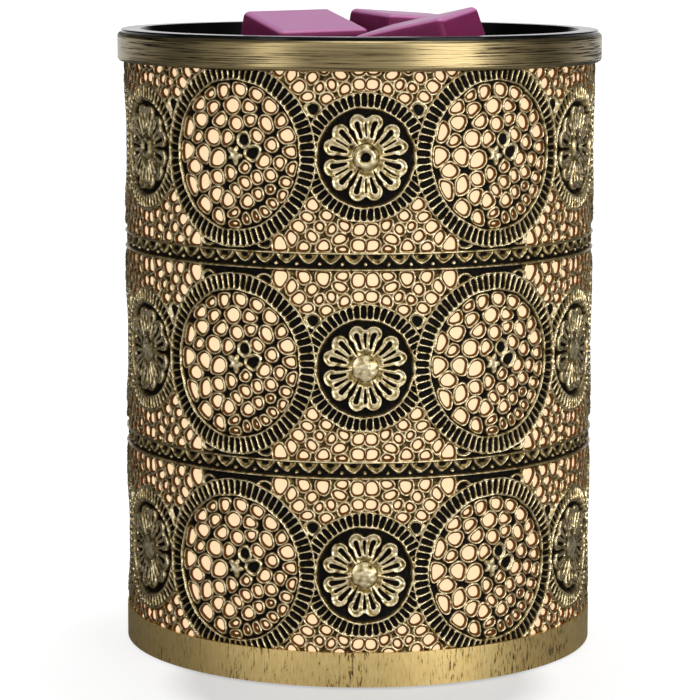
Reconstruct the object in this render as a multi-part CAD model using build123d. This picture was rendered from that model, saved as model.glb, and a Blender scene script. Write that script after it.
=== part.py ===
from build123d import *
import math
import os
import random
from build123d.topology import SkipClean

os.makedirs("parts", exist_ok=True)

# Wax melt warmer, millimetres, +Z up. The origin is on the table under the middle of the lamp, and -Y is
# the front. A pierced sheet cylinder stands on a base plate, holds a bulb and carries a dish of wax.

# ---- driving dimensions: shell and its pattern ----
shell_radius = 53.0
shell_wall = 0.6
relief_height = 0.7
row_pitch = 45.0
row_count = 3
period_count = 5
rear_angle = 42.5
pattern_turn = -88.7
lap_width = 3.2
big_ring_half_width = 18.0
big_ring_band = 4.0
ring_overlap = 2.24
rosette_band = 3.4
petal_count = 6
petal_lobe_radius = 2.5
petal_gap = 2.1
boss_radius = 2.7
ledge_width = 0.6
ledge_above = 2.1
ledge_below = 1.4
pebble_count = 19
spandrel_pebble_count = 2
pebble_web = 1.6
pebble_variety = 0.3
knot_radius = 1.1
pattern_seed = 7
scatter_step = 0.6
scatter_rounds = 12
tool_margin = 2.0

# ---- driving dimensions: rim, base and liner ----
rim_wall = 1.95
rim_height = 6.5
rim_flange = 1.8
rim_edge_round = 0.9
band_height = 7.6
band_lift = 0.5
band_flange = 1.0
band_flange_width = 9.05
foot_height = 1.7
foot_radius = 3.6
foot_edge_round = 0.4
foot_count = 4
foot_inset = 4.4
foot_turn = 45.0
plate_thickness = 1.2
vent_count = 20
vent_width = 2.2
vent_length = 9.0
vent_inset = 17.0
liner_wall = 1.0
fit_gap = 0.1
seat_gap = 0.3

# ---- driving dimensions: fasteners ----
base_screw_count = 3
base_screw_inset = 5.6
base_screw_turn = 30.0
base_screw_radius = 1.5
base_screw_head_radius = 2.8
base_screw_head = 1.2
base_screw_end = 0.5
recess_length = 3.0
recess_width = 0.6
recess_depth = 0.6
base_nut_flats = 5.5
base_nut_height = 2.4
hole_gap = 0.15

# ---- driving dimensions: lamp holder ----
bracket_height = 12.0
bracket_width = 16.0
bracket_thickness = 1.2
bracket_top_length = 30.0
bracket_foot_length = 12.0
bracket_screw_radius = 1.5
bracket_screw_head_radius = 2.7
bracket_screw_head = 1.5
bracket_screw_slot = 0.7
nipple_radius = 5.0
nipple_bore = 3.5
nut_flats = 14.0
nut_height = 2.5
nipple_end = 0.8
nipple_engagement = 2.5
housing_radius = 10.3
housing_floor = 4.5
housing_cavity_height = 4.4
housing_cavity_radius = 6.4
socket_shell_radius = 7.5
socket_shell_wall = 0.5
socket_shell_height = 23.0
socket_shell_lip = 4.4
socket_thread_depth = 0.85
socket_clearance = 0.3
contact_strap_width = 3.0
contact_strap_thickness = 0.8
contact_post_radius = 1.6
contact_head_radius = 2.2
contact_head = 0.8
contact_gap = 0.2
contact_post_height = 11.3

# ---- driving dimensions: bulb ----
globe_radius = 25.0
glass_wall = 0.8
throat_radius = 9.7
throat_height = 5.96
cap_length = 15.0
cap_wall = 0.5
cap_shoulder = 1.2
cap_crimp = 1.0
insulator_height = 1.8
insulator_radius = 4.6
insulator_shoulder = 0.6
tip_height = 1.2
tip_radius = 2.3
neck_radius = 5.1
neck_in_cap = 4.0
stem_radius = 2.6
stem_top_radius = 1.6
stem_flare_height = 4.0
stem_height = 16.0
filament_radius = 0.45
filament_span = 15.0
filament_rise = 11.0
filament_foot_span = 1.8
filament_peak_span = 6.8
filament_shoulder_drop = 2.0
filament_zigzag = 3.0
filament_bend = 1.2

# ---- driving dimensions: wiring ----
lead_radius = 0.8
lead_bend = 3.4
lead_lift = 3.6
lead_run = 14.0
lead_gap = 0.2
lead_drop = 1.2
terminal_length = 16.0
terminal_depth = 10.0
terminal_height = 9.0
terminal_chamfer = 0.8
terminal_distance = 26.0
terminal_spacing = 8.0
terminal_screw_radius = 1.4
terminal_screw_head_radius = 1.9
terminal_screw_head = 1.0
terminal_screw_depth = 4.0
terminal_screw_slot = 0.5
bushing_radius = 3.2
bushing_bore = 2.4
bushing_flange_radius = 3.9
bushing_flange = 1.15
bushing_collar = 2.2
bushing_collar_gap = 0.5

# ---- driving dimensions: dish and wax ----
dish_lip_inset = 0.8
dish_lip = 0.7
dish_lip_round = 0.3
dish_wall = 1.0
dish_taper = 4.9
dish_depth = 20.6
dish_corner = 4.0
dish_clearance = 0.3
wax_top_width = 22.0
wax_foot_width = 25.0
wax_edge_round = 1.5
wax_seat_gap = 0.3

# Each melt: the middle of its top face, its height, its turn about Z, then its tips about its own X and Y.
# Its lowest edge lies on the dish floor.
wax_melts = {
    "wax_melt_left": {"top": (-12.3, 1.5), "height": 20.3, "turn": 26.0, "tip": (10.8, -1.0)},
    "wax_melt_right": {"top": (12.3, -15.0), "height": 19.6, "turn": -23.5, "tip": (5.4, -12.3)},
    "wax_melt_back": {"top": (12.2, 18.2), "height": 22.0, "turn": 25.4, "tip": (2.1, 3.9)},
}

# ---- levels and radii that follow ----
shell_inner = shell_radius - shell_wall
relief_radius = shell_radius + relief_height
wall_fit_radius = shell_radius + fit_gap / 2
flange_top = foot_height + band_flange
shell_bottom = flange_top
shell_top = shell_bottom + row_pitch * row_count
band_top = band_lift + band_height
band_flange_inner = wall_fit_radius - band_flange_width
foot_circle = shell_radius - foot_inset
base_screw_circle = shell_radius - base_screw_inset
vent_circle = shell_radius - vent_inset
rim_radius = wall_fit_radius + rim_wall
rim_top = shell_top + seat_gap + rim_flange
rim_bottom = rim_top - rim_height
plate_radius = shell_inner - fit_gap
plate_top = flange_top + plate_thickness
liner_radius = shell_inner - fit_gap
liner_inner = liner_radius - liner_wall
liner_top = shell_top - seat_gap
big_ring_half_height = row_pitch / 2 - ledge_above - ledge_width
period_angle = (360.0 - rear_angle) / period_count
half_period_angle = period_angle / 2
half_period_arc = math.radians(half_period_angle) * relief_radius
rear_edge_arc = math.radians(rear_angle / 2) * relief_radius
rosette_radius = half_period_arc - big_ring_half_width + ring_overlap
petal_reach = rosette_radius - rosette_band - petal_gap - petal_lobe_radius
dish_lip_radius = rim_radius - dish_lip_inset
dish_lip_top = rim_top + dish_lip
dish_floor = dish_lip_top - dish_depth
dish_top_radius = liner_inner - dish_clearance - fit_gap
dish_floor_radius = dish_top_radius - dish_taper
bracket_screw_place = bracket_top_length / 2 + bracket_foot_length / 2
lead_level = plate_top + lead_lift
bushing_level = plate_top + bushing_flange_radius + fit_gap
bushing_collar_face = liner_inner - bushing_collar_gap
bushing_inner_face = bushing_collar_face - bushing_collar
strap_top = plate_top + bracket_height
cavity_floor = strap_top + housing_floor
socket_seat = cavity_floor + housing_cavity_height
socket_top = socket_seat + socket_shell_height
contact_top = cavity_floor + contact_post_height
bulb_bottom = contact_top + contact_gap
insulator_bottom = bulb_bottom + tip_height
cap_bottom = insulator_bottom + insulator_height
cap_top = cap_bottom + cap_length
cap_radius = socket_shell_radius - socket_shell_wall - socket_thread_depth - socket_clearance
neck_bottom = cap_top - neck_in_cap
globe_centre = cap_top + throat_height + math.sqrt(globe_radius ** 2 - throat_radius ** 2)


def save(shape, name):
    export_step(shape, f"parts/{name}.step")


def tube(outer, inner, low, high):
    ring = Circle(outer) - Circle(inner)
    return Pos(0, 0, low) * extrude(ring, amount=high - low)


def disc(radius, low, high):
    return Pos(0, 0, low) * extrude(Circle(radius), amount=high - low)


def turned(points):
    """Revolve a closed outline of (radius, height) points about Z."""
    outline = make_face(Plane.XZ * Polyline(*points, close=True))
    return revolve(outline, axis=Axis.Z)


def around(count, radius, start=0.0):
    for index in range(count):
        angle = math.radians(start + 360.0 * index / count)
        yield radius * math.cos(angle), radius * math.sin(angle)


# ---- pierced shell ----
# The pattern is laid out flat, u along the girth and v up, and each shape is then cut or raised along the
# radius at its own place. Five whole periods leave a narrow rest of the girth at the rear, where the sheet
# meets on a plain lap between two medallions.
tool_start = math.sqrt(shell_inner ** 2 - big_ring_half_width ** 2) - tool_margin
tool_length = relief_radius - tool_start + tool_margin


def face_plane(u, v):
    """A plane across the radius at the flat place (u, v), inside the shell."""
    angle = u / relief_radius
    outward = (math.cos(angle), math.sin(angle), 0)
    along = (-math.sin(angle), math.cos(angle), 0)
    origin = (outward[0] * tool_start, outward[1] * tool_start, v)
    return Plane(origin=origin, x_dir=along, z_dir=outward)


def radial(u, v, sketch):
    return extrude(face_plane(u, v) * sketch, amount=tool_length)


def scatter(inside, half_width, half_height, count, seed):
    """Spread pebbles evenly over a region, and give each as (u, v, radius)."""
    dice = random.Random(seed)
    step = scatter_step
    columns = int(half_width / step)
    lines = int(half_height / step)
    samples = []
    for column in range(-columns, columns + 1):
        for line in range(-lines, lines + 1):
            if inside(column * step, line * step):
                samples.append((column * step, line * step))
    seeds = dice.sample(samples, count)
    weights = [dice.uniform(1 - pebble_variety, 1 + pebble_variety) for _ in seeds]
    sizes = [0.0 for _ in seeds]
    for _ in range(scatter_rounds):
        groups = [[] for _ in seeds]
        for u, v in samples:
            reach = [((u - s[0]) ** 2 + (v - s[1]) ** 2) / w for s, w in zip(seeds, weights)]
            groups[reach.index(min(reach))].append((u, v))
        for index, group in enumerate(groups):
            if group:
                mean_u = sum(u for u, v in group) / len(group)
                mean_v = sum(v for u, v in group) / len(group)
                seeds[index] = (mean_u, mean_v)
                sizes[index] = math.sqrt(len(group) * step * step / math.pi)
    return [(u, v, size - pebble_web / 2) for (u, v), size in zip(seeds, sizes) if size > pebble_web]


def medallion_reach(u, v):
    """How far (u, v) lies from a medallion's middle, measured on the oval's own half height."""
    return math.hypot(u * big_ring_half_height / big_ring_half_width, v)


def medallion_oval(inset):
    return Ellipse(big_ring_half_width - inset, big_ring_half_height - inset)


def in_medallion(u, v):
    inner_edge = big_ring_half_height - big_ring_band - pebble_web / 4
    return knot_radius + pebble_web / 2 < medallion_reach(u, v) < inner_edge


def in_half_spandrel(u, v):
    """To the right of a rosette's middle, above it and outside the rings."""
    ceiling = row_pitch / 2 - ledge_above - ledge_width
    off_big_ring = medallion_reach(half_period_arc - u, v) > big_ring_half_height + pebble_web / 4
    off_rosette = math.hypot(u, v) > rosette_radius + pebble_web / 4
    return 0 < u and 0 < v < ceiling and off_big_ring and off_rosette


def sector(outer, inner, low, high, start=-half_period_angle, end=half_period_angle):
    """A slice of a tube between two angles in degrees from +X."""
    blank = Plane.XZ * Pos((outer + inner) / 2, (low + high) / 2) * Rectangle(outer - inner, high - low)
    return Rot(0, 0, start) * revolve(blank, axis=Axis.Z, revolution_arc=end - start)


def pebble_places():
    """Each pebble of one medallion and of the four half spandrels round it, as (u, v, radius)."""
    pebbles = scatter(in_medallion, big_ring_half_width, big_ring_half_height, pebble_count, pattern_seed)
    corner = scatter(in_half_spandrel, half_period_arc, row_pitch / 2, spandrel_pebble_count, pattern_seed)
    for u, v, radius in corner:
        inside_seam = min(radius, u - pebble_web / 2)
        for side in (-1, 1):
            for flip in (-1, 1):
                pebbles.append((side * (half_period_arc - u), flip * v, inside_seam))
    return pebbles


def row_level(row):
    return shell_bottom + row_pitch * (row + 0.5)


def medallion_turns():
    return [pattern_turn + period_angle * (index - period_count / 2) for index in range(period_count + 1)]


def rosette_turns():
    return [pattern_turn + period_angle * (index - (period_count - 1) / 2) for index in range(period_count)]


def pierced_sector(start, end):
    """One medallion's slice of the sheet, with the pebbles that keep a web to both its seams."""
    low_edge = math.radians(start) * relief_radius + pebble_web / 2
    high_edge = math.radians(end) * relief_radius - pebble_web / 2
    tools = []
    for u, v, radius in pebble_places():
        if u - radius >= low_edge and u + radius <= high_edge:
            for row in range(row_count):
                tools.append(radial(u, v + row_level(row), Circle(radius)))
    return sector(shell_radius, shell_inner, shell_bottom, shell_top, start, end).cut(*tools)


def pierced_sheet():
    """The sheet cylinder. Its slices meet on seams that no pebble crosses, and keep them."""
    whole = pierced_sector(-half_period_angle, half_period_angle)
    rear_left = pierced_sector(-rear_angle / 2, half_period_angle)
    rear_right = pierced_sector(-half_period_angle, rear_angle / 2)
    slices = [rear_left, *[whole] * (period_count - 1), rear_right]
    placed = [Rot(0, 0, turn) * piece for turn, piece in zip(medallion_turns(), slices)]
    with SkipClean():
        return placed[0].fuse(*placed[1:]) - bushing_tool(bushing_radius + fit_gap)


def flower_outline():
    flower = Circle(boss_radius)
    for petal in range(petal_count):
        angle = math.radians(90 + 360.0 * petal / petal_count)
        place = Pos(petal_reach * math.cos(angle), petal_reach * math.sin(angle))
        flower += place * Circle(petal_lobe_radius)
    return flower


def rear_lap(row):
    """The plain strip that covers the sheet's joint at the rear, in one row."""
    low = row_level(row) - row_pitch / 2 + ledge_above + ledge_width
    high = row_level(row) + row_pitch / 2 - ledge_below - ledge_width
    low = max(low, bushing_level + bushing_flange_radius + fit_gap)
    high = min(high, rim_bottom)
    half_angle = math.degrees(lap_width / 2 / relief_radius)
    rear = pattern_turn + 180.0
    return sector(relief_radius, shell_radius, low, high, rear - half_angle, rear + half_angle)


def relief():
    """The raised rings and flowers of all rows, the ledges between the rows and the rear lap."""
    big_ring = medallion_oval(0) - medallion_oval(big_ring_band)
    rosette_ring = Circle(rosette_radius) - Circle(rosette_radius - rosette_band)
    flower = flower_outline()
    solids = []
    for row in range(row_count):
        level = row_level(row)
        low = max(level - row_pitch / 2, band_top)
        high = min(level + row_pitch / 2, rim_bottom)
        skin = sector(relief_radius, shell_radius, low, high)
        big = [skin & radial(0, level, big_ring), skin & radial(0, level, Circle(knot_radius))]
        ring = skin & radial(0, level, rosette_ring)
        for side in (-1, 1):
            ring = ring - radial(side * half_period_arc, level, medallion_oval(0))
        small = [ring, skin & radial(0, level, flower)]
        for turns, pieces in ((medallion_turns(), big), (rosette_turns(), small)):
            for turn in turns:
                for piece in pieces:
                    solids.extend((Rot(0, 0, turn) * piece).solids())
        solids.extend(rear_lap(row).solids())
    for row in range(1, row_count):
        level = shell_bottom + row_pitch * row
        for low in (level + ledge_above, level - ledge_below - ledge_width):
            solids.extend(tube(relief_radius, shell_radius, low, low + ledge_width).solids())
    return solids


def pierced_shell():
    return Compound([*pierced_sheet().solids(), *relief()])


# ---- base ----
def bushing_tool(radius):
    """A round bar along +Y at the cord inlet, from inside the liner to outside the rim."""
    bar = Cylinder(radius, relief_radius - bushing_inner_face + 2 * tool_margin)
    middle = (relief_radius + bushing_inner_face) / 2
    return Pos(0, middle, bushing_level) * Rot(90, 0, 0) * bar


def base_band():
    outer = relief_radius
    inner = wall_fit_radius
    band = turned([
        (band_flange_inner, foot_height),
        (inner, foot_height),
        (inner, band_lift),
        (outer, band_lift),
        (outer, band_top),
        (inner, band_top),
        (inner, flange_top),
        (band_flange_inner, flange_top),
    ])
    for x, y in around(base_screw_count, base_screw_circle, start=base_screw_turn):
        band -= Pos(x, y, foot_height) * Cylinder(base_screw_radius + hole_gap, 4 * band_flange)
    return band - bushing_tool(bushing_radius + fit_gap)


def base_plate():
    plate = disc(plate_radius, flange_top, plate_top)
    middle = (flange_top + plate_top) / 2
    cuts = []
    for x, y in around(base_screw_count, base_screw_circle, start=base_screw_turn):
        cuts.append(Pos(x, y, middle) * Cylinder(base_screw_radius + hole_gap, 4 * plate_thickness))
    for x in (-bracket_screw_place, bracket_screw_place):
        cuts.append(Pos(x, 0, middle) * Cylinder(bracket_screw_radius, 4 * plate_thickness))
    slot = extrude(SlotOverall(vent_length, vent_width), amount=4 * plate_thickness, both=True)
    for index in range(vent_count):
        angle = 360.0 * (index + 0.5) / vent_count
        cuts.append(Pos(0, 0, middle) * Rot(0, 0, angle) * Pos(vent_circle, 0, 0) * slot)
    return plate - cuts


def base_fasteners():
    screws = []
    nuts = []
    shank_top = plate_top + base_nut_height + base_screw_end
    head_bottom = foot_height - base_screw_head
    cross = Rectangle(recess_length, recess_width) + Rectangle(recess_width, recess_length)
    for x, y in around(base_screw_count, base_screw_circle, start=base_screw_turn):
        shank = Pos(x, y, foot_height) * extrude(Circle(base_screw_radius), amount=shank_top - foot_height)
        head = Pos(x, y, head_bottom) * extrude(Circle(base_screw_head_radius), amount=base_screw_head)
        recess = Pos(x, y, head_bottom) * extrude(cross, amount=recess_depth)
        screws.append(shank + head - recess)
        flats = RegularPolygon(base_nut_flats / 2, 6, major_radius=False) - Circle(base_screw_radius)
        nuts.append(Pos(x, y, plate_top) * extrude(flats, amount=base_nut_height))
    return Compound(screws), Compound(nuts)


def feet():
    pads = []
    for x, y in around(foot_count, foot_circle, start=foot_turn):
        pad = Pos(x, y, 0) * extrude(Circle(foot_radius), amount=foot_height)
        pads.append(fillet(pad.edges().group_by(Axis.Z)[0], foot_edge_round))
    return Compound(pads)


def diffuser_liner():
    """The tube has a slot at its foot, so that it drops over the bushing."""
    half_slot = bushing_radius + fit_gap
    slot_top = bushing_level + half_slot
    slot = Pos(0, liner_radius, (plate_top + slot_top) / 2) * Box(
        2 * half_slot, 4 * tool_margin, slot_top - plate_top)
    return tube(liner_radius, liner_inner, plate_top, liner_top) - slot


def cord_bushing():
    outer_face = relief_radius + bushing_flange
    wall_face = relief_radius
    outline = [
        (bushing_bore, bushing_inner_face),
        (bushing_flange_radius, bushing_inner_face),
        (bushing_flange_radius, bushing_collar_face),
        (bushing_radius, bushing_collar_face),
        (bushing_radius, wall_face),
        (bushing_flange_radius, wall_face),
        (bushing_flange_radius, outer_face),
        (bushing_bore, outer_face),
    ]
    return Pos(0, 0, bushing_level) * Rot(-90, 0, 0) * turned(outline)


# ---- rim ----
def rim_ring():
    wall_inner = wall_fit_radius
    flange_bottom = rim_top - rim_flange
    flange_inner = liner_inner - dish_clearance + fit_gap
    ring = turned([
        (wall_inner, rim_bottom),
        (rim_radius, rim_bottom),
        (rim_radius, rim_top),
        (flange_inner, rim_top),
        (flange_inner, flange_bottom),
        (wall_inner, flange_bottom),
    ])
    outer_edges = ring.edges().filter_by(GeomType.CIRCLE).group_by(SortBy.RADIUS)[-1]
    return fillet(outer_edges, rim_edge_round)


# ---- lamp holder ----
def socket_bracket():
    half = bracket_top_length / 2
    foot = half + bracket_foot_length
    sheet = bracket_thickness
    outline = make_face(Plane.XZ * Polyline(
        (-foot, plate_top),
        (-half + sheet, plate_top),
        (-half + sheet, strap_top - sheet),
        (half - sheet, strap_top - sheet),
        (half - sheet, plate_top),
        (foot, plate_top),
        (foot, plate_top + sheet),
        (half, plate_top + sheet),
        (half, strap_top),
        (-half, strap_top),
        (-half, plate_top + sheet),
        (-foot, plate_top + sheet),
        close=True,
    ))
    strap = extrude(outline, amount=bracket_width / 2, both=True)
    strap -= Pos(0, 0, strap_top) * Cylinder(nipple_radius + hole_gap, 4 * sheet)
    for x in (-bracket_screw_place, bracket_screw_place):
        strap -= Pos(x, 0, plate_top) * Cylinder(bracket_screw_radius + hole_gap, 4 * sheet)
    return strap


def bracket_screws():
    screws = []
    seat = plate_top + bracket_thickness
    tail = flange_top
    for x in (-bracket_screw_place, bracket_screw_place):
        shank = Pos(x, 0, tail) * extrude(Circle(bracket_screw_radius), amount=seat - tail)
        head = Pos(x, 0, seat) * extrude(Circle(bracket_screw_head_radius), amount=bracket_screw_head)
        slot = Pos(x, 0, seat + bracket_screw_head) * Box(
            3 * bracket_screw_head_radius, bracket_screw_slot, bracket_screw_head)
        screws.append(shank + head - slot)
    return Compound(screws)


def socket_nipple():
    low = strap_top - bracket_thickness - nut_height - nipple_end
    return tube(nipple_radius, nipple_bore, low, strap_top + nipple_engagement)


def socket_lock_nut():
    flats = RegularPolygon(nut_flats / 2, 6, major_radius=False) - Circle(nipple_radius + fit_gap / 2)
    return Pos(0, 0, strap_top - bracket_thickness - nut_height) * extrude(flats, amount=nut_height)


def socket_housing():
    wide_bore = socket_shell_radius + fit_gap / 2
    return turned([
        (nipple_radius + fit_gap / 2, strap_top),
        (housing_radius, strap_top),
        (housing_radius, socket_top),
        (wide_bore, socket_top),
        (wide_bore, socket_seat),
        (housing_cavity_radius, socket_seat),
        (housing_cavity_radius, cavity_floor),
        (nipple_radius + fit_gap / 2, cavity_floor),
    ])


def socket_shell():
    inner = socket_shell_radius - socket_shell_wall - socket_thread_depth
    return turned([
        (socket_shell_lip, socket_seat),
        (socket_shell_radius, socket_seat),
        (socket_shell_radius, socket_top),
        (inner, socket_top),
        (inner, socket_seat + socket_shell_wall),
        (socket_shell_lip, socket_seat + socket_shell_wall),
    ])


def socket_contact():
    strap_end = housing_cavity_radius - fit_gap
    strap = Pos(0, 0, cavity_floor + contact_strap_thickness / 2) * Box(
        2 * strap_end, contact_strap_width, contact_strap_thickness)
    strap = strap & disc(strap_end, cavity_floor, cavity_floor + contact_strap_thickness)
    post = disc(contact_post_radius, cavity_floor, contact_top - contact_head)
    head = disc(contact_head_radius, contact_top - contact_head, contact_top)
    return strap + post + head


# ---- bulb ----
def bulb_tip():
    tip = disc(tip_radius, bulb_bottom, insulator_bottom)
    return fillet(tip.edges().group_by(Axis.Z)[0], tip_height / 2)


def bulb_insulator():
    return turned([
        (0, insulator_bottom),
        (tip_radius + insulator_shoulder, insulator_bottom),
        (insulator_radius, cap_bottom),
        (0, cap_bottom),
    ])


def bulb_cap():
    return turned([
        (insulator_radius - cap_crimp, cap_bottom),
        (insulator_radius, cap_bottom),
        (cap_radius, cap_bottom + cap_shoulder),
        (cap_radius, cap_top),
        (cap_radius - cap_wall, cap_top),
        (cap_radius - cap_wall, cap_bottom + cap_shoulder + cap_wall),
        (insulator_radius - cap_crimp, cap_bottom + cap_wall),
    ])


def globe_outline(inset):
    """The right half of the globe and its neck, as a face in the XZ plane, drawn in by inset."""
    radius = globe_radius - inset
    neck = neck_radius - inset
    throat = throat_radius - inset
    join_depth = math.sqrt(radius ** 2 - throat ** 2)
    join = (throat, globe_centre - join_depth)
    crown = (0, globe_centre + radius)
    globe_arc = ThreePointArc(join, (radius, globe_centre), crown)
    neck_curve = Spline((neck, cap_top), join, tangents=[(0, 1), (join_depth, throat)])
    sides = Polyline(crown, (0, neck_bottom), (neck, neck_bottom), (neck, cap_top))
    return make_face(Plane.XZ * (globe_arc + neck_curve + sides))


def bulb_glass():
    outer = revolve(globe_outline(0), axis=Axis.Z)
    inner = revolve(globe_outline(glass_wall), axis=Axis.Z)
    return outer - inner


def bulb_stem():
    return turned([
        (0, neck_bottom),
        (neck_radius - glass_wall, neck_bottom),
        (stem_radius, neck_bottom + stem_flare_height),
        (stem_top_radius, neck_bottom + stem_height),
        (0, neck_bottom + stem_height),
    ])


def bulb_filament():
    foot = neck_bottom + stem_height + filament_radius
    top = foot + filament_rise
    half = filament_span / 2
    path = FilletPolyline(
        (-filament_foot_span / 2, 0, foot),
        (-half, 0, top - filament_shoulder_drop),
        (-filament_peak_span / 2, 0, top + filament_zigzag),
        (0, 0, top - filament_zigzag),
        (filament_peak_span / 2, 0, top + filament_zigzag),
        (half, 0, top - filament_shoulder_drop),
        (filament_foot_span / 2, 0, foot),
        radius=filament_bend,
    )
    start = Plane(origin=path @ 0, z_dir=path % 0)
    return sweep(start * Circle(filament_radius), path=path)


# ---- wiring ----
def lead(start_points, side):
    points = start_points + [
        (start_points[-1][0], start_points[-1][1], lead_level),
        (side * terminal_spacing / 2, start_points[-1][1] + lead_run, lead_level),
        (side * terminal_spacing / 2, terminal_distance, lead_level),
    ]
    path = FilletPolyline(*points, radius=lead_bend)
    start = Plane(origin=path @ 0, z_dir=path % 0)
    return sweep(start * Circle(lead_radius), path=path)


def lead_live():
    return lead([(-nipple_bore / 2, 0, cavity_floor)], -1)


def lead_neutral():
    inside = nipple_bore - lead_radius - lead_gap
    outside = (socket_shell_lip + housing_cavity_radius) / 2
    bend_low = strap_top + nipple_engagement + lead_gap
    bend_high = socket_seat - lead_drop
    return lead([(0, outside, socket_seat), (0, outside, bend_high), (0, inside, bend_low)], 1)


def terminal_block():
    middle = terminal_distance + terminal_depth / 2
    block = Box(terminal_length, terminal_depth, terminal_height)
    block = Pos(0, middle, plate_top + terminal_height / 2) * block
    block = chamfer(block.edges().group_by(Axis.Z)[-1], terminal_chamfer)
    for side in (-1, 1):
        x = side * terminal_spacing / 2
        hole = Cylinder(terminal_screw_radius, 2 * terminal_screw_depth)
        block -= Pos(x, middle, plate_top + terminal_height) * hole
    return block


def terminal_screws():
    middle = terminal_distance + terminal_depth / 2
    seat = plate_top + terminal_height
    screws = []
    for side in (-1, 1):
        x = side * terminal_spacing / 2
        shank = Pos(x, middle, seat - terminal_screw_depth) * extrude(
            Circle(terminal_screw_radius), amount=terminal_screw_depth)
        head = Pos(x, middle, seat) * extrude(Circle(terminal_screw_head_radius), amount=terminal_screw_head)
        slot = Pos(x, middle, seat + terminal_screw_head) * Box(
            3 * terminal_screw_head_radius, terminal_screw_slot, terminal_screw_head)
        screws.append(shank + head - slot)
    return Compound(screws)


# ---- dish and wax ----
def wax_dish():
    outer = turned([
        (0, dish_floor - dish_wall),
        (dish_floor_radius, dish_floor - dish_wall),
        (dish_top_radius, rim_top),
        (dish_lip_radius, rim_top),
        (dish_lip_radius, dish_lip_top),
        (0, dish_lip_top),
    ])
    outer = fillet(outer.edges().group_by(Axis.Z)[0], dish_corner + dish_wall)
    outer = fillet(outer.edges().group_by(Axis.Z)[-1], dish_lip_round)
    hollow_top = dish_lip_top + tool_margin
    hollow = turned([
        (0, dish_floor),
        (dish_floor_radius - dish_wall, dish_floor),
        (dish_top_radius - dish_wall, dish_lip_top),
        (dish_top_radius - dish_wall, hollow_top),
        (0, hollow_top),
    ])
    hollow = fillet(hollow.edges().group_by(Axis.Z)[0], dish_corner)
    return outer - hollow


def wax_melt(top, height, turn, tip):
    foot_face = Pos(0, 0, -height) * Rectangle(wax_foot_width, wax_foot_width)
    top_face = Rectangle(wax_top_width, wax_top_width)
    block = loft([foot_face, top_face])
    block = fillet(block.edges(), wax_edge_round)
    block = Rot(0, 0, turn) * Rot(tip[0], 0, 0) * Rot(0, tip[1], 0) * block
    lowest = block.bounding_box().min.Z
    return Pos(top[0], top[1], dish_floor + wax_seat_gap - lowest) * block


save(pierced_shell(), "pierced_shell")
save(diffuser_liner(), "diffuser_liner")
save(rim_ring(), "rim_ring")
save(base_band(), "base_band")
save(base_plate(), "base_plate")
save(feet(), "feet")
base_screws, base_nuts = base_fasteners()
save(base_screws, "base_screws")
save(base_nuts, "base_nuts")
save(cord_bushing(), "cord_bushing")
save(socket_bracket(), "socket_bracket")
save(bracket_screws(), "bracket_screws")
save(socket_nipple(), "socket_nipple")
save(socket_lock_nut(), "socket_lock_nut")
save(socket_housing(), "socket_housing")
save(socket_shell(), "socket_shell")
save(socket_contact(), "socket_contact")
save(bulb_tip(), "bulb_tip")
save(bulb_insulator(), "bulb_insulator")
save(bulb_cap(), "bulb_cap")
save(bulb_glass(), "bulb_glass")
save(bulb_stem(), "bulb_stem")
save(bulb_filament(), "bulb_filament")
save(terminal_block(), "terminal_block")
save(terminal_screws(), "terminal_screws")
save(lead_live(), "lead_live")
save(lead_neutral(), "lead_neutral")
save(wax_dish(), "wax_dish")
for name, place in wax_melts.items():
    save(wax_melt(**place), name)
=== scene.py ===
import bpy
import math
import numpy as np
from mathutils import Euler, Matrix, Vector


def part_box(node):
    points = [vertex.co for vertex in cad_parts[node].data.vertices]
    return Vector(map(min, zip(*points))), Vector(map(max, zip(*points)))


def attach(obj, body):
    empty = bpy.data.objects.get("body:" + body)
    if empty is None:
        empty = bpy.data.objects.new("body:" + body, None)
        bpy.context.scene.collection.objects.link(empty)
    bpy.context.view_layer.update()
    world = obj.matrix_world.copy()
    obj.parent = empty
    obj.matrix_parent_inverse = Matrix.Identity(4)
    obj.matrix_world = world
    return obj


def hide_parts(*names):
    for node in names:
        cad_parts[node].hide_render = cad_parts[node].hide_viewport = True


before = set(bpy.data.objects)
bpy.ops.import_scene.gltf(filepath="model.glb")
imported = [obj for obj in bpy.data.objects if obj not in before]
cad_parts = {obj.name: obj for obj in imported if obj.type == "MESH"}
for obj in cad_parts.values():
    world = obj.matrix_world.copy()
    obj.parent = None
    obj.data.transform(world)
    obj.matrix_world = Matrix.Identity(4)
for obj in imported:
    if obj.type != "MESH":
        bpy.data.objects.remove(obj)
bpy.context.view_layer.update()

mm = 0.001
print("frame loaded")


# small helpers for materials
def newMaterial(name):
    mat = bpy.data.materials.new(name)
    mat.use_nodes = True
    tree = mat.node_tree
    return mat, tree, tree.nodes["Principled BSDF"]


def addNode(tree, kind, **values):
    node = tree.nodes.new(kind)
    for key, value in values.items():
        setattr(node, key, value)
    return node


def join(tree, a, outName, b, inName):
    tree.links.new(a.outputs[outName], b.inputs[inName])


def feed(tree, socket, value):
    # a socket takes a number, a colour or another node's output
    if isinstance(value, (int, float)):
        socket.default_value = value
    elif isinstance(value, tuple):
        socket.default_value = value if len(value) == 4 else (*value, 1)
    elif value is not None:
        tree.links.new(value, socket)


def place(tree, stretch=(1, 1, 1)):
    # object space in metres, stretched before a texture reads it
    where = addNode(tree, "ShaderNodeTexCoord")
    mapping = addNode(tree, "ShaderNodeMapping")
    mapping.inputs["Scale"].default_value = stretch
    join(tree, where, "Object", mapping, "Vector")
    return mapping


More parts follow.
